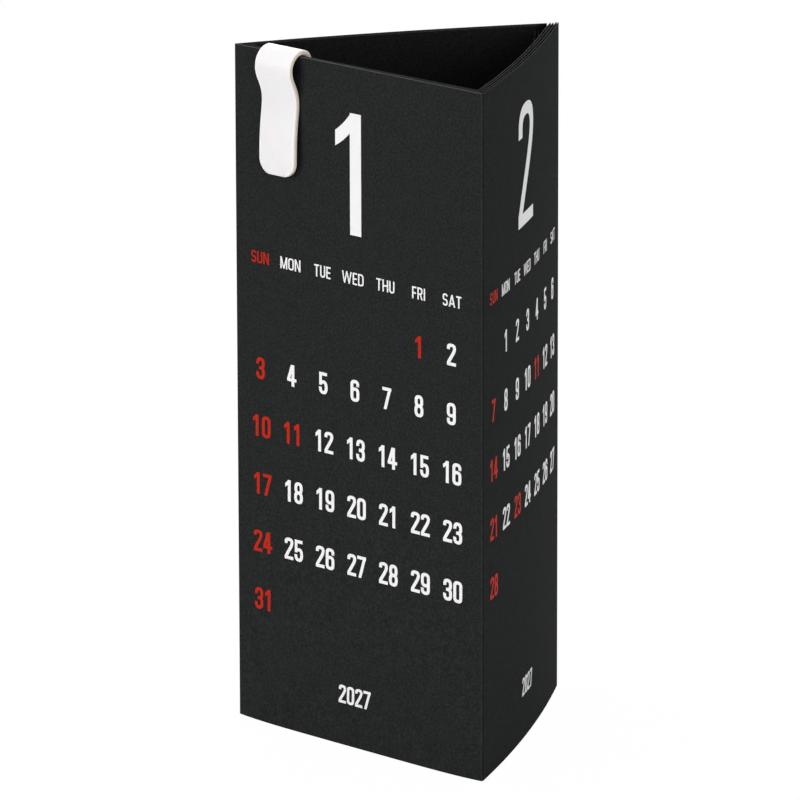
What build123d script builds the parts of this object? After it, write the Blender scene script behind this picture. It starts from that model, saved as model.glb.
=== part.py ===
"""Three-sided desk calendar: four nested, creased sheets of card and a strip clip on the front rim.

Each sheet has a front, a right and a back panel, and a tuck flap on the free end of the back panel.
The creases stand on the outer corner lines of each sheet. Millimetres, +Z up, front face toward -Y.
"""
import math
import os

from build123d import *

# Column
SIDE = 70.5  # outer corner to outer corner, seen from above
HEIGHT = 145.0
BOW = 1.5  # how far the right and back panels bulge outward at mid width

# Sheets, outermost first
CARD = 0.24
LAYER_DEPTHS = (0.0, 0.60, 1.28, 1.86)  # from the outermost face inward
PINCH_GAP = 0.08  # between the front panels where the clip holds them together
FRONT_MONTHS = ("january", "april", "july", "october")
RIGHT_MONTHS = ("february", "may", "august", "november")
BACK_MONTHS = ("march", "june", "september", "december")
QUARTERS = ("first", "second", "third", "fourth")

# Closing corner at the back
TIP_LAP = 0.4  # cut ends of the right panels run this far past the back panels
FLAP_WIDTH = 12.0  # measured square to the back panel
FLAP_CLEARANCE = 0.25  # between the innermost right panel and the outermost flap
FLAP_START = 1.0  # flap ends start this far inside the panel ends
FLAP_SLOPE = 38.0  # degrees, slant of the flap ends

# Clip: centre line from the tongue over the rim to the inner leg,
# as (distance out from the front face, depth below the rim)
CLIP_WIDTH = 10.1
CLIP_LEFT = 8.95  # from the left corner of the column to the clip
CLIP_THICKNESS = 1.25
GRIP_CLEARANCE = 0.05  # between the clip and the sheets at the neck
TONGUE_RADIUS = 3.6
LEG_RADIUS = 2.5
CLIP_EDGE = 0.2

# Derived: stack of sheets, loose and under the clip, and neck of the clip
STACK = LAYER_DEPTHS[-1] + CARD
PINCHED_DEPTHS = [layer * (CARD + PINCH_GAP) for layer in range(len(LAYER_DEPTHS))]
PINCHED_STACK = PINCHED_DEPTHS[-1] + CARD
NECK_OUT = CLIP_THICKNESS / 2 + GRIP_CLEARANCE
NECK_IN = -PINCHED_STACK - NECK_OUT
CLIP_LINE = (
    (1.42, 25.6),
    (1.44, 22.0),
    (1.36, 18.5),
    (1.10, 15.0),
    (0.78, 12.4),
    (NECK_OUT, 10.0),
    (0.90, 7.9),
    (1.55, 6.1),
    (2.22, 4.5),
    (2.46, 2.9),
    (2.14, 1.3),
    (1.25, -0.05),
    (0.00, -0.82),
    (-1.45, -1.04),
    (-2.58, -0.48),
    (-3.22, 0.75),
    (-3.42, 2.6),
    (-3.12, 4.9),
    (NECK_IN - 0.50, 7.5),
    (NECK_IN, 10.2),
    (NECK_IN - 0.17, 13.2),
    (NECK_IN - 0.62, 16.5),
)
CLIP_REACH = max(out for out, depth in CLIP_LINE) + CLIP_THICKNESS / 2

# Derived: circles that the bowed right and back panels lie on, mirror images about x = 0
ARC_RADIUS = (SIDE**2 / 4 + BOW**2) / (2 * BOW)
ARC_X = (ARC_RADIUS - BOW) * math.cos(math.radians(30)) - SIDE / 4
ARC_Y = (ARC_RADIUS - BOW) * math.sin(math.radians(30)) - SIDE / 4 * math.sqrt(3)


def right_corner(depth):
    """Corner of the front and right faces at one depth inside the outermost faces."""
    reach = math.sqrt((ARC_RADIUS - depth) ** 2 - (depth + ARC_Y) ** 2)
    return (reach - ARC_X, depth)


def left_corner(depth):
    """Corner of the front and back faces at one depth, the mirror image of the right corner."""
    x, y = right_corner(depth)
    return (-x, y)


def rear_corner(right_depth, back_depth):
    """Point where the right face at one depth meets the back face at another."""
    right_radius = ARC_RADIUS - right_depth
    back_radius = ARC_RADIUS - back_depth
    x = (right_radius**2 - back_radius**2) / (4 * ARC_X)
    return (x, math.sqrt(right_radius**2 - (x + ARC_X) ** 2) - ARC_Y)


# The origin is the middle of the whole footprint, at the foot
DEPTH_BACK = rear_corner(0.0, -TIP_LAP)[1]
FRONT_Y = (CLIP_REACH - DEPTH_BACK) / 2
PLAN = Plane(origin=(0, FRONT_Y, 0))

# Sides of the clip, seen from above
clip_left = left_corner(0.0)[0] + CLIP_LEFT
clip_right = clip_left + CLIP_WIDTH

os.makedirs("parts", exist_ok=True)

# Front panels, mitred at both creases; the outermost is flat and the others are drawn to it at the clip
for month, depth, pinched in zip(FRONT_MONTHS, LAYER_DEPTHS, PINCHED_DEPTHS):
    inner, pinched_inner = depth + CARD, pinched + CARD
    with BuildPart() as front_panel:
        with BuildSketch(PLAN):
            with BuildLine():
                Polyline(
                    left_corner(depth),
                    (clip_left, pinched),
                    (clip_right, pinched),
                    right_corner(depth),
                    right_corner(inner),
                    (clip_right, pinched_inner),
                    (clip_left, pinched_inner),
                    left_corner(inner),
                    close=True,
                )
            make_face()
        extrude(amount=HEIGHT)
    front_panel.part.label = f"{month}_panel"
    export_step(front_panel.part, f"parts/{month}_panel.step")

# Right panels, bowed, mitred at the front crease and cut off past the back panels
for month, depth in zip(RIGHT_MONTHS, LAYER_DEPTHS):
    inner = depth + CARD
    with BuildPart() as right_panel:
        with BuildSketch(PLAN):
            with BuildLine():
                RadiusArc(rear_corner(depth, -TIP_LAP), right_corner(depth), ARC_RADIUS - depth)
                Line(right_corner(depth), right_corner(inner))
                RadiusArc(right_corner(inner), rear_corner(inner, -TIP_LAP), depth + CARD - ARC_RADIUS)
                Line(rear_corner(inner, -TIP_LAP), rear_corner(depth, -TIP_LAP))
            make_face()
        extrude(amount=HEIGHT)
    right_panel.part.label = f"{month}_panel"
    export_step(right_panel.part, f"parts/{month}_panel.step")

# Back panels, bowed, mitred at the left crease and at the crease of the tuck flap
for month, depth in zip(BACK_MONTHS, LAYER_DEPTHS):
    inner = depth + CARD
    flap_face = STACK + FLAP_CLEARANCE + depth
    fold_outer = rear_corner(flap_face, depth)
    fold_inner = rear_corner(flap_face + CARD, inner)
    with BuildPart() as back_panel:
        with BuildSketch(PLAN):
            with BuildLine():
                RadiusArc(left_corner(depth), fold_outer, ARC_RADIUS - depth)
                Line(fold_outer, fold_inner)
                RadiusArc(fold_inner, left_corner(inner), depth + CARD - ARC_RADIUS)
                Line(left_corner(inner), left_corner(depth))
            make_face()
        extrude(amount=HEIGHT)
    back_panel.part.label = f"{month}_panel"
    export_step(back_panel.part, f"parts/{month}_panel.step")

# Tuck flaps, lying along the inside of the right panels, with slanted ends
for quarter, depth in zip(QUARTERS, LAYER_DEPTHS):
    flap_face = STACK + FLAP_CLEARANCE + depth
    inner_face = flap_face + CARD
    fold_outer = rear_corner(flap_face, depth)
    fold_inner = rear_corner(inner_face, depth + CARD)
    edge_outer = rear_corner(flap_face, depth + FLAP_WIDTH)
    edge_inner = rear_corner(inner_face, depth + FLAP_WIDTH)
    along = Vector(edge_outer[0] - fold_outer[0], edge_outer[1] - fold_outer[1]).normalized()
    rise = math.tan(math.radians(FLAP_SLOPE))
    fold_foot = PLAN.from_local_coords(Vector(*fold_outer))
    lower_end = Plane(origin=fold_foot + (0, 0, FLAP_START), z_dir=along * -rise + Vector(0, 0, 1))
    upper_end = Plane(origin=fold_foot + (0, 0, HEIGHT - FLAP_START), z_dir=along * rise + Vector(0, 0, 1))
    with BuildPart() as tuck_flap:
        with BuildSketch(PLAN):
            with BuildLine():
                RadiusArc(fold_outer, edge_outer, ARC_RADIUS - flap_face)
                Line(edge_outer, edge_inner)
                RadiusArc(edge_inner, fold_inner, inner_face - ARC_RADIUS)
                Line(fold_inner, fold_outer)
            make_face()
        extrude(amount=HEIGHT)
        split(bisect_by=lower_end, keep=Keep.TOP)
        split(bisect_by=upper_end, keep=Keep.BOTTOM)
    tuck_flap.part.label = f"{quarter}_quarter_flap"
    export_step(tuck_flap.part, f"parts/{quarter}_quarter_flap.step")

# Clip: a flat strip bent along its centre line, with rounded ends and softened edges
SIDE_VIEW = Plane(origin=((clip_left + clip_right) / 2, FRONT_Y, HEIGHT), x_dir=(0, -1, 0), z_dir=(-1, 0, 0))
with BuildPart() as clip:
    with BuildLine(SIDE_VIEW) as clip_path:
        Spline(*[(out, -depth) for out, depth in CLIP_LINE])
    with BuildSketch(Plane(origin=clip_path.line @ 0, x_dir=(1, 0, 0), z_dir=clip_path.line % 0)):
        Rectangle(CLIP_WIDTH, CLIP_THICKNESS)
    sweep(path=clip_path.line)
    end_faces = clip.faces().filter_by(lambda face: abs(face.normal_at().X) < 0.1).filter_by(GeomType.PLANE)
    tongue_face = end_faces.sort_by(Axis.Z)[0]
    leg_face = end_faces.sort_by(Axis.Z)[-1]
    fillet(tongue_face.edges().filter_by(lambda edge: edge.length < CLIP_WIDTH / 2), TONGUE_RADIUS)
    fillet(leg_face.edges().filter_by(lambda edge: edge.length < CLIP_WIDTH / 2), LEG_RADIUS)
    outline = clip.edges().filter_by(lambda edge: edge.length > 2 * CLIP_THICKNESS)
    fillet(outline, CLIP_EDGE)
clip.part.label = "clip"
export_step(clip.part, "parts/clip.step")
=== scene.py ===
# %% [markdown]
# # A three-sided desk calendar of black card
# Four nested sheets of black card, creased into a triangular column, carry twelve printed months, and
# a white strip clip is hooked over the rim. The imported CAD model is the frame: its bodies turn and
# slide, and every piece made here rides on one of them.

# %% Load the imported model
import calendar
import math

import bpy
import numpy as np
from mathutils import Matrix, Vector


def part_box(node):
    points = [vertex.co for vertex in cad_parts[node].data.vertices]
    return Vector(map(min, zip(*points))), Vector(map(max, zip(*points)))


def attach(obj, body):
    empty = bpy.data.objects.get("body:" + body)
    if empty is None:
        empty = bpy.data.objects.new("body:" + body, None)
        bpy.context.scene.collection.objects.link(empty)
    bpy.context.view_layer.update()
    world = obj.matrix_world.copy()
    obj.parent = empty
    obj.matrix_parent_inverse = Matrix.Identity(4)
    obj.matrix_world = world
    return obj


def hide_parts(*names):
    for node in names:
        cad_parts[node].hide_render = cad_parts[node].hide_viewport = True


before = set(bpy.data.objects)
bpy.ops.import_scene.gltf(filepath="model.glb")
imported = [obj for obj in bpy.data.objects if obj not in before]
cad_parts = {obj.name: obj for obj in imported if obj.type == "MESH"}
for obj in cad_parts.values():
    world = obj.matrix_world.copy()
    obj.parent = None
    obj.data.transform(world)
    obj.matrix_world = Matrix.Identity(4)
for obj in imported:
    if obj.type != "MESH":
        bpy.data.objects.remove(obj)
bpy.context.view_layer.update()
MM = 0.001

# %% [markdown]
# ## Camera
# The column was photographed with a long lens, from the front right and a little above the rim. The
# angles come from fitting the six outer corners of the column, so the camera is written as three
# angles, a distance and a lens instead of being placed by eye.

# %% Camera
AZIMUTH, ELEVATION, ROLL = np.radians((43.643, 14.744, -0.146))
EYE_DISTANCE = 1699.7
EYE_SHIFT = (-5.25, -1.37)  # sideways and upward, in mm
LENS = 367.2
SENSOR = 36.0
FAR_CLIP = 20.0  # metres, past the far end of the floor
AIM_DEPTH, AIM_HEIGHT = 20.207, 72.48  # the point looked at, behind the front face and above the foot
front_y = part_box("january_panel")[0].y / MM  # y of the outermost front face
aim_point = np.array((0.0, front_y + AIM_DEPTH, AIM_HEIGHT))

backward = np.array((
    math.sin(AZIMUTH) * math.cos(ELEVATION),
    -math.cos(AZIMUTH) * math.cos(ELEVATION),
    math.sin(ELEVATION),
))
level = np.array((math.cos(AZIMUTH), math.sin(AZIMUTH), 0.0))
rise = np.cross(backward, level)
across = math.cos(ROLL) * level + math.sin(ROLL) * rise
upward = math.cos(ROLL) * rise - math.sin(ROLL) * level
eye = aim_point + EYE_SHIFT[0] * across + EYE_SHIFT[1] * upward + EYE_DISTANCE * backward

camera = bpy.data.objects.new("camera", bpy.data.cameras.new("camera"))
camera.data.lens = LENS
camera.data.sensor_width = SENSOR
camera.data.clip_end = FAR_CLIP
bpy.context.scene.collection.objects.link(camera)
placed = np.eye(4)
placed[:3] = np.column_stack((across, upward, backward, eye * MM))
camera.matrix_world = Matrix(placed.tolist())
bpy.context.scene.camera = camera
print("camera at", np.round(eye).tolist(), "mm")

# %% [markdown]
# ## Materials
# Colours are written as the sRGB hex values that the eye reads, and one function turns them into the
# linear numbers that the shader works with. One more function adds a node, with its settings and
# what is linked to it, and short ones on top of it write the four kinds of node that come up most.

# %% Colour and node helpers
def linear(hex_colour):
    """Linear RGBA of an sRGB hex colour: small values are divided by 12.92, others raised to 2.4."""
    srgb = np.array([int(hex_colour[i:i + 2], 16) for i in (1, 3, 5)]) / 255
    rgb = np.where(srgb <= 0.04045, srgb / 12.92, ((srgb + 0.055) / 1.055) ** 2.4)
    return (*rgb.tolist(), 1.0)


def add_node(tree, kind, sockets=None, **settings):
    """Adds a node, sets its properties, and fills its sockets with values or links."""
    node = tree.nodes.new(kind)
    for name, value in settings.items():
        setattr(node, name, value)
    for name, value in (sockets or {}).items():
        if isinstance(value, bpy.types.NodeSocket):
            tree.links.new(value, node.inputs[name])
        else:
            node.inputs[name].default_value = value
    return node


def new_material(name):
    """An empty node material, and the tree to build it in."""
    material = bpy.data.materials.new(name)
    material.use_nodes = True
    material.node_tree.nodes.clear()
    return material, material.node_tree


def noise(tree, place, size_mm, detail, roughness=0.5):
    """Noise socket with features of about this size: the scale is one over the size in metres."""
    sockets = {"Vector": place, "Scale": 1.0 / (size_mm * MM), "Detail": detail, "Roughness": roughness}
    return add_node(tree, "ShaderNodeTexNoise", sockets).outputs["Fac"]


def mix_colours(tree, share, first, second, blend="MIX"):
    """Colour socket between two colours; the node's colour sockets are 6 and 7 in, 2 out."""
    sockets = {0: share, 6: first, 7: second}
    return add_node(tree, "ShaderNodeMix", sockets, data_type="RGBA", blend_type=blend).outputs[2]


def arithmetic(tree, operation, first, second, clamp=False):
    """Number socket with the result of an operation on two values."""
    sockets = {0: first, 1: second}
    return add_node(tree, "ShaderNodeMath", sockets, operation=operation, use_clamp=clamp).outputs[0]


def spread(tree, value, low, high, least=0.0, most=1.0):
    """Number socket that carries a value from the range least to most over to low to high."""
    sockets = {"Value": value, "From Min": least, "From Max": most, "To Min": low, "To Max": high}
    return add_node(tree, "ShaderNodeMapRange", sockets).outputs["Result"]

# %% [markdown]
# ### Black card
# The sheets are uncoated black board, dyed through. Pressed fibres give the face a soft, cloudy grain
# and almost no gloss. The reverse is drawn a deeper black, painted shade for the dark inside of the
# column, and a knife-cut edge is drawn pale, partly raw fibres and partly painted light where the rim
# catches the lamps. Three noises of real sizes make the clouds, the fibres and the tooth of the surface,
# and attributes that are stored on the mesh say which faces are reverse, which edges are cut, and where
# a crease is rubbed pale on one side and carries a painted shadow of its score line on the other.

# %% Black card material
CLOUD_MM, FIBRE_MM, TOOTH_MM = 2.4, 0.55, 0.32  # fibres are drawn about twice as coarse, to show
TOOTH_HEIGHT_MM = 0.03
SCORE_SHADOW_SHARE = 0.3  # how dark the painted shadow of the score line beside a crease gets

black_card, tree = new_material("uncoated_black_card")
place = add_node(tree, "ShaderNodeTexCoord").outputs["Object"]
clouds = noise(tree, place, CLOUD_MM, detail=3.0)
fibres = noise(tree, place, FIBRE_MM, detail=4.0, roughness=0.7)
tooth = noise(tree, place, TOOTH_MM, detail=2.0)
reverse_shade = add_node(tree, "ShaderNodeAttribute", attribute_name="reverse_shade").outputs["Fac"]
cut = add_node(tree, "ShaderNodeAttribute", attribute_name="cut").outputs["Fac"]
crease = add_node(tree, "ShaderNodeAttribute", attribute_name="crease").outputs["Fac"]
tone = mix_colours(tree, clouds, linear("#1a1b1b"), linear("#242525"))
fibre_share = spread(tree, fibres, 0.0, 0.8, least=0.42, most=0.75)
tone = mix_colours(tree, fibre_share, tone, linear("#333434"))
rubbed = arithmetic(tree, "MULTIPLY", crease, fibres, clamp=True)
tone = mix_colours(tree, rubbed, tone, linear("#3c3d3d"))
# painted shade: the dark strip beside a crease is the score line's shadow, painted into the tone
score_shadow = arithmetic(tree, "MULTIPLY", crease, -SCORE_SHADOW_SHARE, clamp=True)
tone = mix_colours(tree, score_shadow, tone, linear("#0c0c0c"))
# painted shade: the reverse is multiplied darker, so the inside of the column stays dark
tone = mix_colours(tree, reverse_shade, tone, linear("#dcdcdc"), blend="MULTIPLY")
# the pale cut edge is partly raw fibres and partly painted light, where the rims catch the lamps
cut_fibre_and_light = arithmetic(tree, "POWER", cut, 2.0)
tone = mix_colours(tree, cut_fibre_and_light, tone, linear("#707070"))
relief = add_node(tree, "ShaderNodeBump", {
    "Height": tooth, "Strength": 0.35, "Distance": TOOTH_HEIGHT_MM * MM})
shader = add_node(tree, "ShaderNodeBsdfPrincipled", {
    "Base Color": tone, "Roughness": spread(tree, fibres, 0.72, 0.88, least=0.3, most=0.7),
    "Normal": relief.outputs["Normal"], "Specular IOR Level": 0.01})
add_node(tree, "ShaderNodeOutputMaterial", {"Surface": shader.outputs["BSDF"]})
print("made", black_card.name)

# %% [markdown]
# ### Printing inks
# The white is an opaque screen ink, matt and slightly mottled where the grain of the card shows
# through. The red is the same kind of ink with less gloss. A fine noise changes the tone and the gloss
# a little, and both inks share one builder because they differ only in colour and sheen.

# %% Ink materials
INK_MOTTLE_MM, INK_RELIEF_MM = 0.5, 0.02


def screen_ink(name, full_tone, thin_tone, gloss):
    """Matt ink: a fine noise mixes the full tone with the tone where the film is thin."""
    ink, tree = new_material(name)
    place = add_node(tree, "ShaderNodeTexCoord").outputs["Object"]
    mottle = noise(tree, place, INK_MOTTLE_MM, detail=3.0)
    relief = add_node(tree, "ShaderNodeBump", {
        "Height": mottle, "Strength": 0.2, "Distance": INK_RELIEF_MM * MM})
    shader = add_node(tree, "ShaderNodeBsdfPrincipled", {
        "Base Color": mix_colours(tree, mottle, linear(full_tone), linear(thin_tone)),
        "Roughness": spread(tree, mottle, 0.5, 0.7),
        "Normal": relief.outputs["Normal"], "Specular IOR Level": gloss})
    add_node(tree, "ShaderNodeOutputMaterial", {"Surface": shader.outputs["BSDF"]})
    return ink


white_ink = screen_ink("white_screen_ink", "#e9e9e8", "#dfdfde", gloss=0.3)
red_ink = screen_ink("red_screen_ink", "#b3210b", "#a91d09", gloss=0.08)
print("made", white_ink.name, red_ink.name)

# %% [markdown]
# ### White plastic
# The clip is a bent strip of moulded white ABS with a satin face. Its faces are nearly white, and light
# scatters about a millimetre inside it. Its narrow sides are tinted cream, painted warm light that
# stands in for the warm bounce falling on them. A very fine noise gives the satin its grain.

# %% Clip plastic material
SATIN_MM, SATIN_RELIEF_MM, SCATTER_MM = 0.3, 0.02, 1.2

clip_plastic, tree = new_material("satin_white_abs")
place = add_node(tree, "ShaderNodeTexCoord").outputs["Object"]
satin = noise(tree, place, SATIN_MM, detail=2.0)
# painted light: the narrow sides are tinted cream for the warm bounce light on them
warm_side_light = add_node(tree, "ShaderNodeAttribute", attribute_name="side").outputs["Fac"]
face_tone = mix_colours(tree, satin, linear("#e7e5e6"), linear("#dfddde"))
relief = add_node(tree, "ShaderNodeBump", {
    "Height": satin, "Strength": 0.08, "Distance": SATIN_RELIEF_MM * MM})
shader = add_node(tree, "ShaderNodeBsdfPrincipled", {
    "Base Color": mix_colours(tree, warm_side_light, face_tone, linear("#e8dccf")),
    "Roughness": spread(tree, satin, 0.36, 0.48),
    "Normal": relief.outputs["Normal"], "IOR": 1.53, "Specular IOR Level": 0.4,
    "Subsurface Weight": 0.8, "Subsurface Radius": (1.0, 0.9, 0.8), "Subsurface Scale": SCATTER_MM * MM})
add_node(tree, "ShaderNodeOutputMaterial", {"Surface": shader.outputs["BSDF"]})
print("made", clip_plastic.name)

# %% [markdown]
# ## Meshes from grids
# Card and ink are both thin slabs: an outer grid of points, an inner grid of the same shape, and a
# band of faces around the border that joins them. Working out the grids as whole arrays keeps each
# shape a formula, and one function closes the slab.

# %% Slab and piece helpers
FACE, REVERSE, RIM = 0, 1, 2


def slab(outer, inner, ring=False):
    """Closed quads between two grids, as vertices, faces and a zone for each face.
    Rows of the grid run along its first axis; a ring joins its last row to its first."""
    count = outer.shape[0] * outer.shape[1]
    index = np.arange(count).reshape(outer.shape[:2])
    if ring:
        index = np.vstack((index, index[:1]))
    quads = np.stack((index[:-1, :-1], index[1:, :-1], index[1:, 1:], index[:-1, 1:]), -1).reshape(-1, 4)
    if ring:
        starts = np.concatenate((index[:-1, 0], index[:0:-1, -1]))
        ends = np.concatenate((index[1:, 0], index[-2::-1, -1]))
    else:
        starts = np.concatenate((index[:-1, 0], index[-1, :-1], index[:0:-1, -1], index[0, :0:-1]))
        ends = np.roll(starts, -1)
    band = np.stack((starts, starts + count, ends + count, ends), -1)
    faces = np.vstack((quads, quads[:, ::-1] + count, band))
    zones = np.repeat((FACE, REVERSE, RIM), (len(quads), len(quads), len(band)))
    return np.vstack((outer.reshape(-1, 3), inner.reshape(-1, 3))), faces, zones


def add_piece(name, points, faces, material, body, smooth=True):
    """Links a mesh object made of points in mm in the plan frame, and lets it ride on a body."""
    mesh = bpy.data.meshes.new(name)
    corners = faces if isinstance(faces, list) else faces.tolist()
    mesh.from_pydata((points + (0.0, front_y, 0.0)) * MM, [], corners)
    mesh.polygons.foreach_set("use_smooth", np.full(len(mesh.polygons), smooth))
    mesh.materials.append(material)
    mesh.update()
    piece = bpy.data.objects.new(name, mesh)
    bpy.context.scene.collection.objects.link(piece)
    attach(piece, body)
    return piece


def store(piece, name, values, domain):
    """Keeps one number for each point or face of a piece, for its material to read."""
    attribute = piece.data.attributes.new(name, "FLOAT", domain)
    attribute.data.foreach_set("value", np.asarray(values, np.float32))

# %% [markdown]
# ## Plan of the column
# Seen from above, the front is straight and the right and back faces are shallow arcs, as card bulges
# when it is folded into a tube. A face that lies deeper in the stack is the same line moved inward,
# so each corner is where two such lines cross. The clip holds the front panels together, so the inner
# ones are drawn to the outermost there, and the free ends of the right panels lean together.

# %% Plan of the column
SIDE, HEIGHT, BOW = 70.5, 145.0, 1.5
CARD = 0.24
LAYER_DEPTHS = (0.0, 0.60, 1.28, 1.86)
STACK = LAYER_DEPTHS[-1] + CARD
PINCH_GAP = 0.08  # between the front panels under the clip
PINCHED_DEPTHS = (CARD + PINCH_GAP) * np.arange(len(LAYER_DEPTHS))
TIP_LAPS = (0.15, 0.7, 0.2, 0.4)  # by layer, because folded ends never quite line up
TIP_LEANS, TIP_REACH = (0.0, 0.16, 0.28, 0.28), 9.0  # outward by layer, over the last stretch
FLAP_WIDTH, FLAP_CLEARANCE, FLAP_START = 12.0, 0.25, 1.0
FLAP_SLOPE = 38.0  # degrees, slant of the flap ends
ARC_RADIUS = (SIDE**2 / 4 + BOW**2) / (2 * BOW)
ARC_X = (ARC_RADIUS - BOW) * math.cos(math.radians(30)) - SIDE / 4
ARC_Y = (ARC_RADIUS - BOW) * math.sin(math.radians(30)) - SIDE / 4 * math.sqrt(3)
clip_low, clip_high = (corner.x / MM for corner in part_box("clip"))


def right_corner(depth):
    """Where the front line crosses the right arc, both moved inward by a depth."""
    return np.array((math.sqrt((ARC_RADIUS - depth) ** 2 - (depth + ARC_Y) ** 2) - ARC_X, depth))


def left_corner(depth):
    """The mirror image of the right corner."""
    return right_corner(depth) * (-1, 1)


def rear_corner(right_depth, back_depth):
    """Where the right arc at one depth crosses the back arc at another."""
    x = ((ARC_RADIUS - right_depth) ** 2 - (ARC_RADIUS - back_depth) ** 2) / (4 * ARC_X)
    return np.array((x, math.sqrt((ARC_RADIUS - right_depth) ** 2 - (x + ARC_X) ** 2) - ARC_Y))


def arc(centre_x, start, end, share):
    """Points on a circle about (centre_x, -ARC_Y), at shares of the angle from start to end."""
    first, last = (math.atan2(p[1] + ARC_Y, p[0] - centre_x) for p in (start, end))
    angle = first + (last - first) * share
    radius = math.hypot(start[0] - centre_x, start[1] + ARC_Y)
    return np.stack((centre_x + radius * np.cos(angle), radius * np.sin(angle) - ARC_Y), -1)


def front_depth(layer, depth, x):
    """Depth of a front face: its own at both corners, drawn to the outermost panel under the clip,
    and in straight lines between them."""
    drawn = PINCHED_DEPTHS[layer] + depth - LAYER_DEPTHS[layer]
    places = (left_corner(depth)[0], clip_low, clip_high, right_corner(depth)[0])
    return np.interp(x, places, (depth, drawn, drawn, depth))


def leaning(plan_points, layer):
    """Moves points of a right panel outward near its free end: the lean of its layer, times the
    square of one less the distance from that end over the reach."""
    distance = np.linalg.norm(plan_points - rear_corner(LAYER_DEPTHS[layer], 0.0), axis=-1, keepdims=True)
    lean = TIP_LEANS[layer] * np.clip(1 - distance / TIP_REACH, 0, None) ** 2
    return plan_points + lean * (plan_points + (ARC_X, ARC_Y)) / ARC_RADIUS


def face_line(side, layer, depth, share):
    """Plan points of one face, from left to right as seen from outside the column.
    The depth is the layer's own for its outer face, and a card's thickness more for its inner face."""
    fold = rear_corner(STACK + FLAP_CLEARANCE + depth, depth)
    if side == "front":
        x = left_corner(depth)[0] * (1 - share) + right_corner(depth)[0] * share
        return np.stack((x, front_depth(layer, depth, x)), -1)
    if side == "right":
        tip = rear_corner(depth, -TIP_LAPS[layer])
        return leaning(arc(-ARC_X, right_corner(depth), tip, share), layer)
    if side == "back":
        return arc(ARC_X, fold, left_corner(depth), share)
    edge = rear_corner(STACK + FLAP_CLEARANCE + depth, LAYER_DEPTHS[layer] + FLAP_WIDTH)
    return arc(-ARC_X, edge, fold, share)


print("right corner", np.round(right_corner(0.0), 2).tolist())
print("rear tip", np.round(rear_corner(0.0, 0.0), 2).tolist())

# %% [markdown]
# ## Card panels
# Each panel is a slab of board between two creases. The real creases are pressed and then folded, so
# the corner is a small round and not a knife edge, and the front wall swells forward toward the foot.
# A panel is a grid over the distance along its face and the height. The round is a parabola that pulls
# the corner inward, and the swell is a product of two powers. It ends at each panel's own creases and
# is nearly the same on all four layers, which keeps them apart.

# %% Panel grids
CREASE_ROUND = {"right": (0.3, 0.2, 0.0, 0.0), "left": (0.18, 0.1, 0.0, 0.0)}  # by layer
CREASE_LEAN = 0.844  # cosine of the angle between a face and the line that halves the corner
CREASE_LAP = (0.0, 0.0, 0.05, 0.05)  # by layer, how far front panels reach past sharp creases
EDGE_SOFTNESS = 0.05
FOOT_SWELL, SWELL_FLATNESS, SWELL_RISE = 1.05, 5.0, 6.0
# widths of the pale rubbed line and of the painted shadow of the score line at a crease
RUBBED_WIDTH, SCORE_SHADOW_WIDTH = 0.3, 0.9
CUT_SHARE = {"front": 0.36, "right": 0.54, "back": 0.1, "flap": 0.1}  # how pale the cut ends are drawn, partly raw fibres and partly painted light: paler on the right panels, which face a lamp, and dimmest on the back panels and tuck flaps, which are in shade
LIT_RIM_PANEL = "january_panel"  # its rim is drawn palest, painted light on the outermost front rim, which catches the most light
INSIDE_CUT, LIT_RIM_INSIDE_CUT = 0.25, 0.75  # paleness along the inner face, as a share of the outer
NEAR_CREASE = np.array((0.0, 0.1, 0.22, 0.36, 0.52, 0.72, 0.96, 1.25, 1.6, 2.1, 2.8))
NEAR_CUT = np.array((0.0, EDGE_SOFTNESS, 3 * EDGE_SOFTNESS, 0.8, 2.4))


def front_swell(x, z, corner_x):
    """How far the front wall stands forward: nothing at the rim and creases, most at mid foot.
    One less the share of the height, to a power, times one less a power of the share of the way
    to the crease."""
    return FOOT_SWELL * (1 - z / HEIGHT) ** SWELL_RISE * (1 - np.abs(x / corner_x) ** SWELL_FLATNESS)


def stations(length, first, last, step=1.8):
    """Distances along a face: close together at both ends and even between them."""
    middle = np.linspace(first[-1], length - last[-1], int(length / step))[1:-1]
    return np.concatenate((first, middle, length - last[::-1]))


def rounded(line, corner_at, depth, radius):
    """Pulls one end of a plan line toward the inside of its corner: the parabola
    radius * (1 - distance / reach) squared, along the line that halves the corner."""
    if radius <= 0:
        return line
    corner = corner_at(depth)
    inward = corner_at(depth + 1.0) - corner
    inward /= np.linalg.norm(inward)
    distance = np.linalg.norm(line - corner, axis=1)
    pull = radius * np.clip(1 - distance * CREASE_LEAN / (2 * radius), 0, None) ** 2
    return line + pull[:, None] * inward


def panel_face(side, layer, inside, share, z):
    """Grid of points of one face of a panel over its length and height."""
    depth = LAYER_DEPTHS[layer] + (CARD if inside else 0.0)
    line = face_line(side, layer, depth, share)
    thinner = CARD / math.sin(math.acos(CREASE_LEAN)) - CARD if inside else 0.0
    if side in ("front", "right"):
        line = rounded(line, right_corner, depth, CREASE_ROUND["right"][layer] - thinner)
    if side in ("front", "back"):
        line = rounded(line, left_corner, depth, CREASE_ROUND["left"][layer] - thinner)
    grid = np.empty((len(share), len(z), 3))
    grid[..., :2] = line[:, None]
    grid[..., 2] = z
    if side == "front":
        grid[[0, -1], :, 0] += np.array((-CREASE_LAP[layer], CREASE_LAP[layer]))[:, None]
        grid[..., 1] -= front_swell(grid[..., 0], grid[..., 2], right_corner(depth)[0])
    return grid


def soften(outer, inner, rows):
    """Brings the outer and inner border rows nearer to each other, which rounds a cut edge."""
    share = EDGE_SOFTNESS / CARD
    first, second = outer[rows].copy(), inner[rows].copy()
    outer[rows] += share * (second - first)
    inner[rows] += share * (first - second)


ENDS = {  # how close together the stations are at the left and right end of each kind of panel
    "front": (NEAR_CREASE, NEAR_CREASE),
    "right": (NEAR_CREASE, NEAR_CUT),
    "back": (NEAR_CREASE, NEAR_CREASE),
    "flap": (NEAR_CUT, NEAR_CREASE),
}


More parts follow.
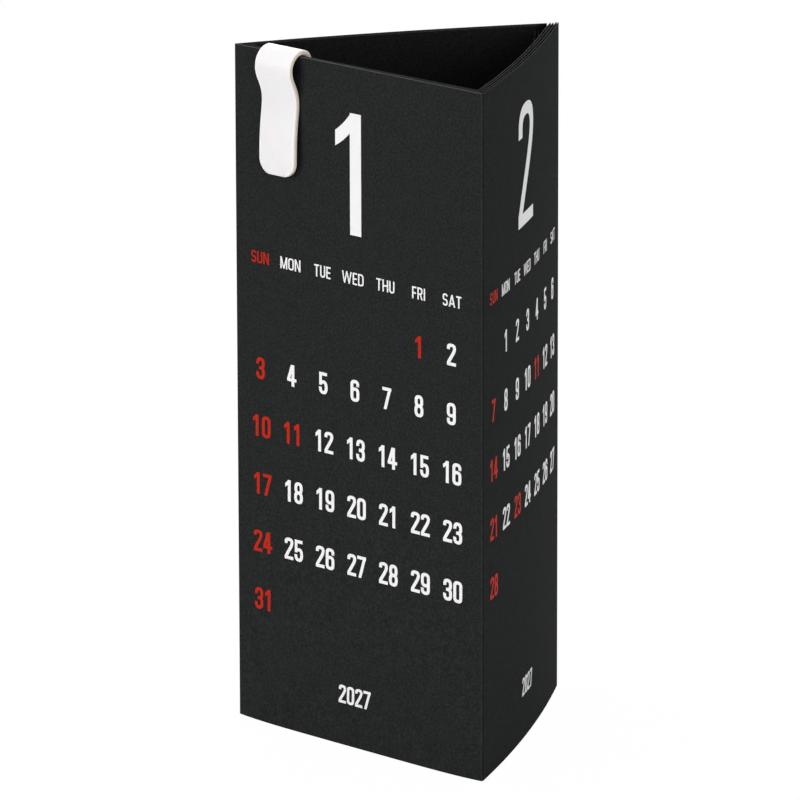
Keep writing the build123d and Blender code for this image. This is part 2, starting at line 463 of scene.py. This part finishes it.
def card_panel(name, side, layer, body, node):
    """One panel or flap: two face grids, softened where they were cut, closed into a slab."""
    plain = face_line(side, layer, LAYER_DEPTHS[layer], np.linspace(0, 1, 3))
    length = np.linalg.norm(np.diff(plain, axis=0), axis=1).sum()
    along = stations(length, *ENDS[side])
    share = along / length
    z = stations(HEIGHT, NEAR_CUT, NEAR_CUT, step=5.0)
    outer, inner = (panel_face(side, layer, inside, share, z) for inside in (False, True))
    if side == "flap":
        slope = FLAP_START + (length - along) * math.tan(math.radians(FLAP_SLOPE))
        for grid in (outer, inner):
            grid[..., 2] = slope[:, None] + z / HEIGHT * (HEIGHT - 2 * slope[:, None])
    soften(outer, inner, np.s_[:, [0, -1]])
    if side == "right":
        soften(outer, inner, np.s_[[-1], 1:-1])
    if side == "flap":
        soften(outer, inner, np.s_[[0], 1:-1])
    points, faces, zones = slab(outer, inner)
    panel = add_piece(name, points, faces, black_card, body)
    rubbed = np.exp(-((length - along) / RUBBED_WIDTH) ** 2) * (side in ("front", "back"))
    # painted shade: the score line's shadow, painted at the start of each right panel
    score_shadow = np.exp(-(along / SCORE_SHADOW_WIDTH) ** 2) * (side == "right")
    store(panel, "crease", np.tile(np.repeat(rubbed - score_shadow, len(z)), 2), "POINT")
    # this mask of reverse faces carries the painted shade on the inside of the column
    store(panel, "reverse_shade", zones == REVERSE, "FACE")
    cut = np.zeros((len(along), len(z)))
    # painted light: the outermost front rim is drawn palest, as the rim that catches the most light
    lit_rim = node == LIT_RIM_PANEL
    cut[:, [0, -1]] = 1.0 if lit_rim else CUT_SHARE[side]
    cut[-1] = np.maximum(cut[-1], side == "right")
    inside_cut = (LIT_RIM_INSIDE_CUT if lit_rim else INSIDE_CUT) * cut
    store(panel, "cut", np.concatenate((cut, inside_cut), axis=None), "POINT")
    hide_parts(node)
    return panel

# %% Make the twelve panels and four flaps
MONTHS = [name.lower() for name in calendar.month_name[1:]]
SIDES = ("front", "right", "back")
QUARTERS = ("first", "second", "third", "fourth")
month_place = {}
for number, month in enumerate(MONTHS):
    layer, side = number // 3, SIDES[number % 3]
    body = "front_leaf" if side == "front" else f"{side}_leaf_{layer + 1}"
    month_place[month] = (side, layer, body)
    card_panel(f"{month}_card", side, layer, body, f"{month}_panel")
for layer, quarter in enumerate(QUARTERS):
    card_panel(f"{quarter}_quarter_tuck", "flap", layer, f"flap_leaf_{layer + 1}", f"{quarter}_quarter_flap")
print("panels:", {month: place[0] for month, place in month_place.items()})

# %% [markdown]
# ## Figures and letters
# The print is a bold, narrow sans-serif. Its strokes have an even weight, so each character is a few
# limbs, and a limb is the strip between two edge lines that have the same number of points. Drawing
# the edges, and not a font, lets the month figures be lighter than the dates, as on the real sheet.

# %% Edge lines and limbs
SQUARENESS = 2.5  # 2 is an ellipse; more makes the flat sides of a narrow bowl
LINE_STEPS = 8


def straight(start, end):
    """Evenly spaced points from start to end."""
    return np.linspace(start, end, LINE_STEPS)


def bowl(cx, cy, rx, ry, start, end, steps=16):
    """Points on a squarish oval between two angles in degrees: cosine and sine keep their sign
    and are raised to the power 2 / SQUARENESS."""
    angle = np.radians(np.linspace(start, end, steps))
    unit = np.stack((np.cos(angle), np.sin(angle)), -1)
    return (cx, cy) + np.sign(unit) * np.abs(unit) ** (2 / SQUARENESS) * (rx, ry)


def sweep(p0, p1, p2, p3):
    """Points on a cubic Bezier curve, the sum of four points weighted by powers of the share."""
    p0, p1, p2, p3 = map(np.array, (p0, p1, p2, p3))
    t = np.linspace(0, 1, 2 * LINE_STEPS)[:, None]
    return (1 - t) ** 3 * p0 + 3 * t * (1 - t) ** 2 * p1 + 3 * t**2 * (1 - t) * p2 + t**3 * p3


def hollow(start, end):
    """A slightly hollow curve from start to end: a cubic that lies lower than the straight line."""
    way = np.subtract(end, start)
    return sweep(start, start + way * (0.33, 0.44), start + way * (0.66, 0.77), end)


def upright(x0, x1, y0, y1):
    """A vertical limb between two edges, from one height to another."""
    return straight((x0, y0), (x0, y1)), straight((x1, y0), (x1, y1))


def block(x0, y0, x1, y1):
    """A rectangle as one limb, along its longer side."""
    if x1 - x0 > y1 - y0:
        return straight((x0, y0), (x1, y0)), straight((x0, y1), (x1, y1))
    return upright(x0, x1, y0, y1)


def slant(x0, y0, x1, y1, width):
    """A straight limb between two heights, cut level at both ends."""
    return straight((x0, y0), (x1, y1)), straight((x0 + width, y0), (x1 + width, y1))


def bend(cx, cy, rx, ry, start, end, stem, bar):
    """A round limb between two ovals, thinner across its top and bottom than at its sides."""
    return bowl(cx, cy, rx, ry, start, end), bowl(cx, cy, rx - stem, ry - bar, start, end)


def oval(cx, low, high, rx, ry, stem, bar):
    """A closed ring with round ends and straight sides; its last point is its first."""
    def loop(rx, ry, inset):
        top = bowl(cx, high - ry - inset, rx, ry, 0, 180)
        return np.vstack((top, bowl(cx, low + ry + inset, rx, ry, 180, 360), top[:1]))
    return loop(rx, ry, 0.0), loop(rx - stem, ry - bar, bar)


def joined(*limbs):
    """Several limbs laid end to end as one."""
    return np.vstack([limb[0] for limb in limbs]), np.vstack([limb[1] for limb in limbs])

# %% The ten figures
def figures(h, w, stem, bar):
    """Limbs and width of each figure from its height and width and its stem and bar thickness."""
    mid = w / 2
    end = 0.245 * h  # height of a round end
    low, high = (h * 0.51 + bar / 2) / 2, (h * 0.49 + bar / 2) / 2  # half heights of two stacked bowls
    flag, tall, under, rise = 0.162 * h, 0.161 * h, 1.04 * stem, 0.134 * h
    six = [
        joined(
            block(w - stem, h - end - 0.06 * h, w, h - end)[::-1],
            bend(mid, h - end, mid, end, 0, 180, stem, bar),
            upright(0, stem, h - end, 2 * end),
        ),
        oval(mid, 0, 0.655 * h, mid, end, stem, bar),
    ]
    turned = [tuple((w, h) - edge for edge in limb) for limb in six]
    foot = 0.27 * w
    marks = {
        "0": (w, [oval(mid, 0, h, mid, end, stem, bar)]),
        "1": (flag + stem, [
            block(flag, 0, flag + stem, h),
            (hollow((flag + 0.1 * stem, h), (0, h - tall)),
             hollow((flag + 0.1 * stem, h - tall - under + rise), (0, h - tall - under))),
        ]),
        "2": (w, [
            joined(
                upright(0, stem, 0.73 * h, 0.79 * h),
                bend(mid, 0.79 * h, mid, 0.21 * h, 180, 0, stem, bar),
                (sweep((w, 0.79 * h), (w, 0.62 * h), (0.66 * w, 0.42 * h), (1.1 * stem, bar)),
                 sweep((w - stem, 0.79 * h), (w - stem, 0.65 * h), (0.66 * w - 1.22 * stem, 0.41 * h),
                       (0, bar))),
            ),
            block(0, 0, w, bar),
        ]),
        "3": (w, [
            bend(mid, h - high, mid * 0.97, high, 185, -90, stem, bar),
            bend(mid, low, mid, low, 90, -185, stem, bar),
            block(0.33 * w, 2 * low - bar, 0.55 * w, 2 * low),
        ]),
        "4": (1.06 * w, [
            block(0.5 * w, 0, 0.5 * w + stem, h),
            block(0, 0.225 * h, 1.06 * w, 0.225 * h + bar),
            slant(0, 0.225 * h + 0.8 * bar, 0.44 * w, h, stem),
        ]),
        "5": (w, [
            block(0.04 * w, 0.41 * h, 0.04 * w + 0.95 * stem, h),
            block(0.04 * w, h - bar, 0.93 * w, h),
            bend(mid, 0.318 * h, mid, 0.318 * h, 128, -180, stem, bar),
        ]),
        "6": (w, six),
        "7": (w, [
            block(0, h - bar, w, h),
            slant(foot - 0.13 * w, 0, w - stem, h - 0.4 * bar, stem),
        ]),
        "8": (w, [
            oval(mid, 2 * low - bar, h, mid * 0.95, high, stem, bar),
            oval(mid, 0, 2 * low, mid, low, stem, bar),
        ]),
        "9": (w, turned),
    }
    return marks

# %% The letters of the weekday names
def letters(h, stem, bar):
    """Limbs and width of the capitals in the weekday names, from the cap height and the strokes."""
    def post(x):
        return block(x, 0, x + stem, h)

    def beam(length, middle):
        return block(0, middle - bar / 2, length, middle + bar / 2)

    half = (h + bar) / 4  # half height of the two bowls of an S
    s, u, n, m, o, t = (share * h for share in (0.55, 0.58, 0.64, 0.78, 0.62, 0.56))
    e, w, d, hh, f, r, a = (share * h for share in (0.48, 1.08, 0.62, 0.63, 0.47, 0.58, 0.7))
    point = 0.9 * stem
    return {
        "S": (s, [
            bend(s / 2, h - half, s / 2, half, 12, 270, stem, bar),
            bend(s / 2, half, s / 2, half, 90, -168, stem, bar),
        ]),
        "U": (u, [
            joined(
                upright(0, stem, h, 0.3 * h),
                bend(u / 2, 0.3 * h, u / 2, 0.3 * h, 180, 360, stem, bar),
                upright(u, u - stem, 0.3 * h, h),
            ),
        ]),
        "N": (n, [post(0), post(n - stem), slant(0.1 * stem, h, n - 1.1 * stem, 0, stem)]),
        "M": (m, [
            post(0), post(m - stem),
            slant(0.1 * stem, h, m / 2 - point / 2, 0, point),
            slant(m - 0.1 * stem - point, h, m / 2 - point / 2, 0, point),
        ]),
        "O": (o, [oval(o / 2, 0, h, o / 2, 0.27 * h, stem, bar)]),
        "T": (t, [block(0, h - bar, t, h), block(t / 2 - stem / 2, 0, t / 2 + stem / 2, h)]),
        "E": (e, [post(0), block(0, 0, e, bar), block(0, h - bar, e, h), beam(0.92 * e, h / 2)]),
        "W": (w, [
            slant(0, h, 0.26 * w - point / 2, 0, point),
            slant(0.5 * w - point / 2, h, 0.26 * w - point / 2, 0, point),
            slant(0.5 * w - point / 2, h, 0.74 * w - point / 2, 0, point),
            slant(w - point, h, 0.74 * w - point / 2, 0, point),
        ]),
        "D": (d, [
            post(0), block(0, 0, 0.45 * d, bar), block(0, h - bar, 0.45 * d, h),
            bend(0.4 * d, h - 0.3 * h, 0.6 * d, 0.3 * h, 90, 0, stem, bar),
            block(d - stem, 0.3 * h, d, 0.7 * h),
            bend(0.4 * d, 0.3 * h, 0.6 * d, 0.3 * h, 0, -90, stem, bar),
        ]),
        "H": (hh, [post(0), post(hh - stem), beam(hh, h / 2)]),
        "F": (f, [post(0), block(0, h - bar, f, h), beam(0.9 * f, 0.47 * h)]),
        "R": (r, [
            post(0), block(0, h - bar, 0.4 * r, h), beam(0.45 * r, 0.46 * h),
            bend(0.4 * r, (1.46 * h - bar / 2) / 2, 0.58 * r, (0.54 * h + bar / 2) / 2, 90, -90, stem, bar),
            slant(0.4 * r, 0.48 * h, r - stem, 0, stem),
        ]),
        "I": (stem, [post(0)]),
        "A": (a, [
            slant(0, 0, a / 2 - stem / 2, h, stem), slant(a - stem, 0, a / 2 - stem / 2, h, stem),
            block(0.22 * a, 0.2 * h, 0.78 * a, 0.2 * h + bar),
        ]),
    }

# %% [markdown]
# ## Printing a month
# A printed panel shows the month's figure, the weekday names, the dates in columns from Sunday, and
# the year. Python's own calendar gives the first weekday and the number of days. Each limb becomes a
# thin film of ink on the face: flat positions are carried onto the arc by turning a distance along the
# face into an angle about the arc's centre.

# %% Layout of a printed panel, in mm
YEAR = 2027
FIRST_COLUMN, COLUMN_PITCH = 7.3, 9.11  # from the left corner of the face
WEEKDAY_ASIDES = (-0.1, -0.42, -0.3, -0.68, -0.5, -0.24, 0.02)  # of the words, from their columns
ROW_ASIDES = (-0.15, -0.2, -0.05, 0.2, 0.25, 0.5)  # of the rows of dates
MONTH_DEPTH, WEEKDAY_DEPTH, FIRST_ROW_DEPTH, ROW_PITCH, YEAR_DEPTH = 22.45, 44.42, 55.74, 12.5, 134.1
MONTH_HEIGHT, DATE_HEIGHT, YEAR_HEIGHT, CAP_HEIGHT = 25.65, 4.65, 3.88, 2.55
FIGURE_PITCH = 0.609  # distance between figures, as a share of their height
LETTER_GAP = 0.3
INK_FILM, INK_BITE = 0.03, 0.02  # thickness above the card and depth in its surface
INK_STEP = 0.003  # a limb that crosses another lies this much higher
INK_STEPS = 5  # heights that the limbs take in turn
INK_COLUMNS = 4
HOLIDAYS = {"january": (1, 11), "february": (11, 23)}  # printed in red as well as the Sundays
PRINT_SHIFT = {"front": (0.0, 0.0), "right": (0.35, 0.45), "back": (0.2, 0.3)}  # right and up
MONTH_SHIFT = {"front": (-0.6, 0.0), "right": (-1.85, 0.5), "back": (-1.2, 0.3)}  # more for the month
MONTH_MARKS = figures(MONTH_HEIGHT, 13.0, 3.15, 2.6)
DATE_MARKS = figures(DATE_HEIGHT, 2.5, 0.8, 0.68)
YEAR_MARKS = figures(YEAR_HEIGHT, 2.1, 0.66, 0.56)
CAPITALS = letters(CAP_HEIGHT, 0.37, 0.33)
NUDGE = {"1": -0.05}  # the flag makes a 1 look off centre, as a share of the height


def moved(limb, right, up):
    """A limb shifted by two distances."""
    return tuple(edge + (right, up) for edge in limb)


def figure_line(marks, height, text, centre_x, centre_y):
    """Limbs of a number whose figures all take up the same width."""
    pitch = FIGURE_PITCH * height
    limbs = []
    for place, mark in enumerate(text):
        width, parts = marks[mark]
        middle = centre_x + (place - (len(text) - 1) / 2) * pitch + NUDGE.get(mark, 0.0) * height
        limbs += [moved(part, middle - width / 2, centre_y - height / 2) for part in parts]
    return limbs


def letter_line(text, centre_x, centre_y):
    """Limbs of a word whose letters stand an even gap apart."""
    widths = [CAPITALS[letter][0] for letter in text]
    lefts = np.cumsum([0.0] + [width + LETTER_GAP for width in widths[:-1]])
    start = centre_x - (lefts[-1] + widths[-1]) / 2
    return [moved(part, start + left, centre_y - CAP_HEIGHT / 2)
            for left, letter in zip(lefts, text) for part in CAPITALS[letter][1]]


def on_face(side, layer, flat, lift):
    """Carries flat positions (distance from the left corner, height) onto a face, a lift outside it.
    On an arc the distance divided by the radius is the angle from the corner."""
    depth = LAYER_DEPTHS[layer]
    along, z = flat[..., 0], flat[..., 1]
    if side == "front":
        x = left_corner(depth)[0] + along
        swell = front_swell(x, z, right_corner(depth)[0])
        return np.stack((x, front_depth(layer, depth, x) - lift - swell, z), -1)
    centre_x = -ARC_X if side == "right" else ARC_X
    start = right_corner(depth) if side == "right" else rear_corner(depth, depth)
    radius = ARC_RADIUS - depth
    angle = math.atan2(start[1] + ARC_Y, start[0] - centre_x) + along / radius
    from_centre = (radius + lift) * np.stack((np.cos(angle), np.sin(angle)), -1)
    on_plan = from_centre + (centre_x, -ARC_Y)
    if side == "right":
        on_plan = leaning(on_plan, layer)
    return np.concatenate((on_plan, z[..., None]), -1)


def ink_film(side, layer, limbs):
    """Slabs of all limbs as one set of points and faces. A limb's grid runs along its edges and
    across between them, and is turned round where its area comes out negative."""
    points, faces, base = [], [], 0
    share = np.linspace(0, 1, INK_COLUMNS)[:, None]
    for order, (edge_a, edge_b) in enumerate(limbs):
        outline = np.vstack((edge_a, edge_b[::-1]))
        ahead = np.roll(outline, -1, axis=0)
        if (outline[:, 0] * ahead[:, 1] - ahead[:, 0] * outline[:, 1]).sum() < 0:
            edge_a, edge_b = edge_a[::-1], edge_b[::-1]
        ring = np.allclose(edge_a[0], edge_a[-1])
        if ring:
            edge_a, edge_b = edge_a[:-1], edge_b[:-1]
        flat = edge_a[:, None] * (1 - share) + edge_b[:, None] * share
        lift = INK_FILM + INK_STEP * (order % INK_STEPS)
        film = slab(on_face(side, layer, flat, lift), on_face(side, layer, flat, -INK_BITE), ring)
        points.append(film[0])
        faces.append(film[1] + base)
        base += len(film[0])
    return np.vstack(points), np.vstack(faces)

# %% Print the twelve months
WEEKDAYS = ("SUN", "MON", "TUE", "WED", "THU", "FRI", "SAT")
for number, month in enumerate(MONTHS, start=1):
    side, layer, body = month_place[month]
    shift_x, shift_z = PRINT_SHIFT[side]
    columns = FIRST_COLUMN + COLUMN_PITCH * np.arange(7) + shift_x
    first_weekday, day_count = calendar.monthrange(YEAR, number)
    offset = (first_weekday + 1) % 7  # columns start on Sunday
    top = HEIGHT + shift_z
    aside, higher = MONTH_SHIFT[side]
    middle = columns[3]
    white = figure_line(MONTH_MARKS, MONTH_HEIGHT, str(number), middle + aside, top - MONTH_DEPTH + higher)
    white += figure_line(YEAR_MARKS, YEAR_HEIGHT, str(YEAR), middle, top - YEAR_DEPTH)
    words = [letter_line(word, x, top - WEEKDAY_DEPTH)
             for word, x in zip(WEEKDAYS, columns + WEEKDAY_ASIDES)]
    red = words[0]
    white += sum(words[1:], [])
    for day in range(1, day_count + 1):
        row, column = divmod(day - 1 + offset, 7)
        limbs = figure_line(DATE_MARKS, DATE_HEIGHT, str(day), columns[column] + ROW_ASIDES[row],
                            top - FIRST_ROW_DEPTH - ROW_PITCH * row)
        if column == 0 or day in HOLIDAYS.get(month, ()):
            red += limbs
        else:
            white += limbs
    for colour, ink, limbs in (("white", white_ink, white), ("red", red_ink, red)):
        add_piece(f"{month}_{colour}_print", *ink_film(side, layer, limbs), ink, body, smooth=False)
print("printed", YEAR, "on", len(month_place), "panels")

# %% [markdown]
# ## Clip
# The clip is one strip of plastic bent over the rim: a rounded tongue in front, a neck that pinches the
# card, a soft loop over the rim and a short leg inside. It is a rounded cross-section carried along the
# bend. The bend is a smooth curve through the strip's middle line, and the cross-section becomes
# narrower and thinner toward both ends, which rounds them.

# %% Clip path and cross-section
CLIP_THICKNESS, CLIP_EDGE = 1.1, 0.3
TONGUE_RADIUS, LEG_RADIUS = 3.3, 2.5
GRIP_CLEARANCE = 0.05
NECK_OUT = CLIP_THICKNESS / 2 + GRIP_CLEARANCE  # middle of the strip to the card that it pinches
NECK_IN = -PINCHED_DEPTHS[-1] - CARD - NECK_OUT
CLIP_LINE = np.array((  # distance out from the front face, depth below the rim
    (1.42, 25.6), (1.44, 22.0), (1.36, 18.5), (1.10, 15.0), (0.78, 12.4), (NECK_OUT, 10.0), (0.90, 7.9),
    (1.60, 6.1), (2.30, 4.5), (2.56, 2.9), (2.24, 1.35), (1.30, 0.1), (0.12, -0.62), (-1.25, -0.68),
    (-2.42, -0.12), (-3.10, 1.0), (-3.36, 2.7), (-3.10, 4.9), (NECK_IN - 0.5, 7.5), (NECK_IN, 10.2),
    (NECK_IN - 0.17, 13.2), (NECK_IN - 0.62, 16.5)))
PATH_STEPS, END_STEPS, CORNER_STEPS = 110, 14, 6


def smooth_curve(knots, count):
    """Natural cubic spline through the knots: second derivatives from a tridiagonal system, then a
    cubic in each span. Returns many points on the curve, and how far along it each one lies."""
    t = np.concatenate(([0.0], np.cumsum(np.linalg.norm(np.diff(knots, axis=0), axis=1))))
    gap = np.diff(t)
    system = np.eye(len(t))
    inner = np.arange(1, len(t) - 1)
    system[inner, inner - 1], system[inner, inner + 1] = gap[:-1], gap[1:]
    system[inner, inner] = 2 * (gap[:-1] + gap[1:])
    slope = np.diff(knots, axis=0) / gap[:, None]
    right = np.zeros_like(knots)
    right[1:-1] = 6 * np.diff(slope, axis=0)
    second = np.linalg.solve(system, right)
    at = np.linspace(0, t[-1], 40 * count)
    k = np.clip(np.searchsorted(t, at, "right") - 1, 0, len(gap) - 1)
    a, b, g = (t[k + 1] - at)[:, None], (at - t[k])[:, None], gap[k][:, None]
    curve = (second[k] * a**3 + second[k + 1] * b**3) / (6 * g)
    curve += (knots[k] / g - second[k] * g / 6) * a + (knots[k + 1] / g - second[k + 1] * g / 6) * b
    return curve, np.concatenate(([0.0], np.cumsum(np.linalg.norm(np.diff(curve, axis=0), axis=1))))


def round_off(distance, radius):
    """How far a rounded corner cuts in, at a distance from the end of the strip."""
    return radius - np.sqrt(radius**2 - np.clip(radius - distance, 0, radius) ** 2)


curve, travelled = smooth_curve(CLIP_LINE, PATH_STEPS)
length = travelled[-1]
ease = 1 - np.cos(np.linspace(0, np.pi / 2, END_STEPS))  # crowded toward the end of the strip
from_end = np.unique(np.concatenate((CLIP_EDGE * ease, TONGUE_RADIUS * ease)))
stops = np.concatenate((from_end, np.linspace(TONGUE_RADIUS, length - TONGUE_RADIUS, PATH_STEPS)[1:-1],
                        length - from_end[::-1]))
out, depth = (np.interp(stops, travelled, curve[:, axis]) for axis in (0, 1))
heading = np.stack((np.gradient(out, stops), np.gradient(depth, stops)), -1)
heading /= np.linalg.norm(heading, axis=1, keepdims=True)
facing = np.stack((heading[:, 1], -heading[:, 0]), -1)  # square to the strip, in the side view
print("clip strip:", round(float(length), 1), "mm long")

# %% Clip mesh
half_width, half_thick = (clip_high - clip_low) / 2, CLIP_THICKNESS / 2
narrow = np.minimum(half_width - round_off(stops, TONGUE_RADIUS),
                    half_width - round_off(length - stops, LEG_RADIUS))
thin = half_thick - round_off(np.minimum(stops, length - stops), CLIP_EDGE)
corner_angle = np.linspace(0, np.pi / 2, CORNER_STEPS)
turns = np.concatenate([corner_angle + quarter * np.pi / 2 for quarter in range(4)])
corner_x = np.repeat((1, -1, -1, 1), CORNER_STEPS)  # signs of the four corners of the cross-section
corner_y = np.repeat((1, 1, -1, -1), CORNER_STEPS)
edge = np.minimum(CLIP_EDGE, thin * 0.999)[:, None]  # always a little under the half thickness
sideways = corner_x * (narrow[:, None] - CLIP_EDGE) + CLIP_EDGE * np.cos(turns)
proud = corner_y * (thin[:, None] - edge) + edge * np.sin(turns)
rings = np.empty((len(stops), len(turns), 3))
rings[..., 0] = (clip_low + clip_high) / 2 - sideways
rings[..., 1] = -(out[:, None] + proud * facing[:, :1])
rings[..., 2] = HEIGHT - (depth[:, None] + proud * facing[:, 1:])
index = np.arange(rings.shape[0] * rings.shape[1]).reshape(rings.shape[:2])
looped = np.hstack((index, index[:, :1]))
skin = np.stack((looped[:-1, :-1], looped[1:, :-1], looped[1:, 1:], looped[:-1, 1:]), -1).reshape(-1, 4)
caps = [index[0].tolist(), index[-1, ::-1].tolist()]
clip = add_piece("strip_clip", rings.reshape(-1, 3), skin.tolist() + caps, clip_plastic, "clip_body")
warm_side_share = np.abs(np.cos(turns)) ** 3  # share of the painted warm light: 1 on the narrow sides, falling fast to 0 on the faces
store(clip, "side", np.tile(warm_side_share, len(stops)), "POINT")
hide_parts("clip")
print("clip:", len(clip.data.polygons), "faces")

# %% [markdown]
# ## Floor and light
# The column stands on a plain white sweep. The floor keeps the shadow, and for camera, glossy and
# transmitted rays most of it is an even white, so the background is clean without more light on the
# object. Four large soft lamps stand in front, to the right, overhead and behind, and so little of
# their light reaches into the column that its inside stays dark, and the painted shade on the reverse
# of the card makes it darker still.

# %% Floor
FLOOR_HALF, FLOOR_DROP = 4.0, 0.0001  # metres
FLOOR_WHITE_SHARE = 0.985


def seen_rays(tree):
    """Socket that is 1 for camera, glossy and transmitted rays and 0 for rays that only carry light."""
    rays = add_node(tree, "ShaderNodeLightPath").outputs
    direct = arithmetic(tree, "MAXIMUM", rays["Is Camera Ray"], rays["Is Glossy Ray"])
    return arithmetic(tree, "MAXIMUM", direct, rays["Is Transmission Ray"])


floor_mesh = bpy.data.meshes.new("floor")
floor_signs = ((-1, -1), (1, -1), (1, 1), (-1, 1))
floor_corners = [(x * FLOOR_HALF, y * FLOOR_HALF, -FLOOR_DROP) for x, y in floor_signs]
floor_mesh.from_pydata(floor_corners, [], [(0, 1, 2, 3)])
floor = bpy.data.objects.new("floor", floor_mesh)
bpy.context.scene.collection.objects.link(floor)
white_sweep, tree = new_material("white_paper_sweep")
white_share = arithmetic(tree, "MULTIPLY", seen_rays(tree), FLOOR_WHITE_SHARE)
paper = add_node(tree, "ShaderNodeBsdfDiffuse", {"Color": linear("#f2f2f2")})
glow = add_node(tree, "ShaderNodeEmission", {"Color": (1.0, 1.0, 1.0, 1.0), "Strength": 1.0})
blend = add_node(tree, "ShaderNodeMixShader", {0: white_share, 1: paper.outputs[0], 2: glow.outputs[0]})
add_node(tree, "ShaderNodeOutputMaterial", {"Surface": blend.outputs[0]})
floor_mesh.materials.append(white_sweep)
print("floor of", white_sweep.name)

# %% World and lamps
WORLD_STRENGTH = 0.2
LAMP_AIM = np.array((0.0, 0.0, 0.075))  # metres, about the middle of the column
LAMPS = {  # where each lamp stands, its size in metres and its power in watts
    "front_softbox": ((-0.55, -1.7, 0.45), 1.1, 20.5),
    "right_softbox": ((1.7, -0.45, 0.45), 1.0, 12.5),
    "top_softbox": ((-0.15, 0.05, 1.5), 0.9, 14.0),
    "rear_softbox": ((-1.45, 1.1, 0.45), 1.0, 16.0),
}

world = bpy.data.worlds.new("studio")
bpy.context.scene.world = world
world.use_nodes = True
tree = world.node_tree
tree.nodes.clear()
strength = spread(tree, seen_rays(tree), WORLD_STRENGTH, 1.0)
sky = add_node(tree, "ShaderNodeBackground", {"Color": (1.0, 1.0, 1.0, 1.0), "Strength": strength})
add_node(tree, "ShaderNodeOutputWorld", {"Surface": sky.outputs[0]})
for name, (position, size, power) in LAMPS.items():
    lamp = bpy.data.objects.new(name, bpy.data.lights.new(name, "AREA"))
    lamp.data.size = size
    lamp.data.energy = power
    bpy.context.scene.collection.objects.link(lamp)
    away = np.array(position) - LAMP_AIM
    away /= np.linalg.norm(away)
    flat = np.cross((0.0, 0.0, 1.0), away)
    flat /= np.linalg.norm(flat)
    turn = np.eye(4)
    turn[:3] = np.column_stack((flat, np.cross(away, flat), away, position))
    lamp.matrix_world = Matrix(turn.tolist())
bpy.context.scene.view_settings.view_transform = "Standard"
print("lamps:", list(LAMPS))
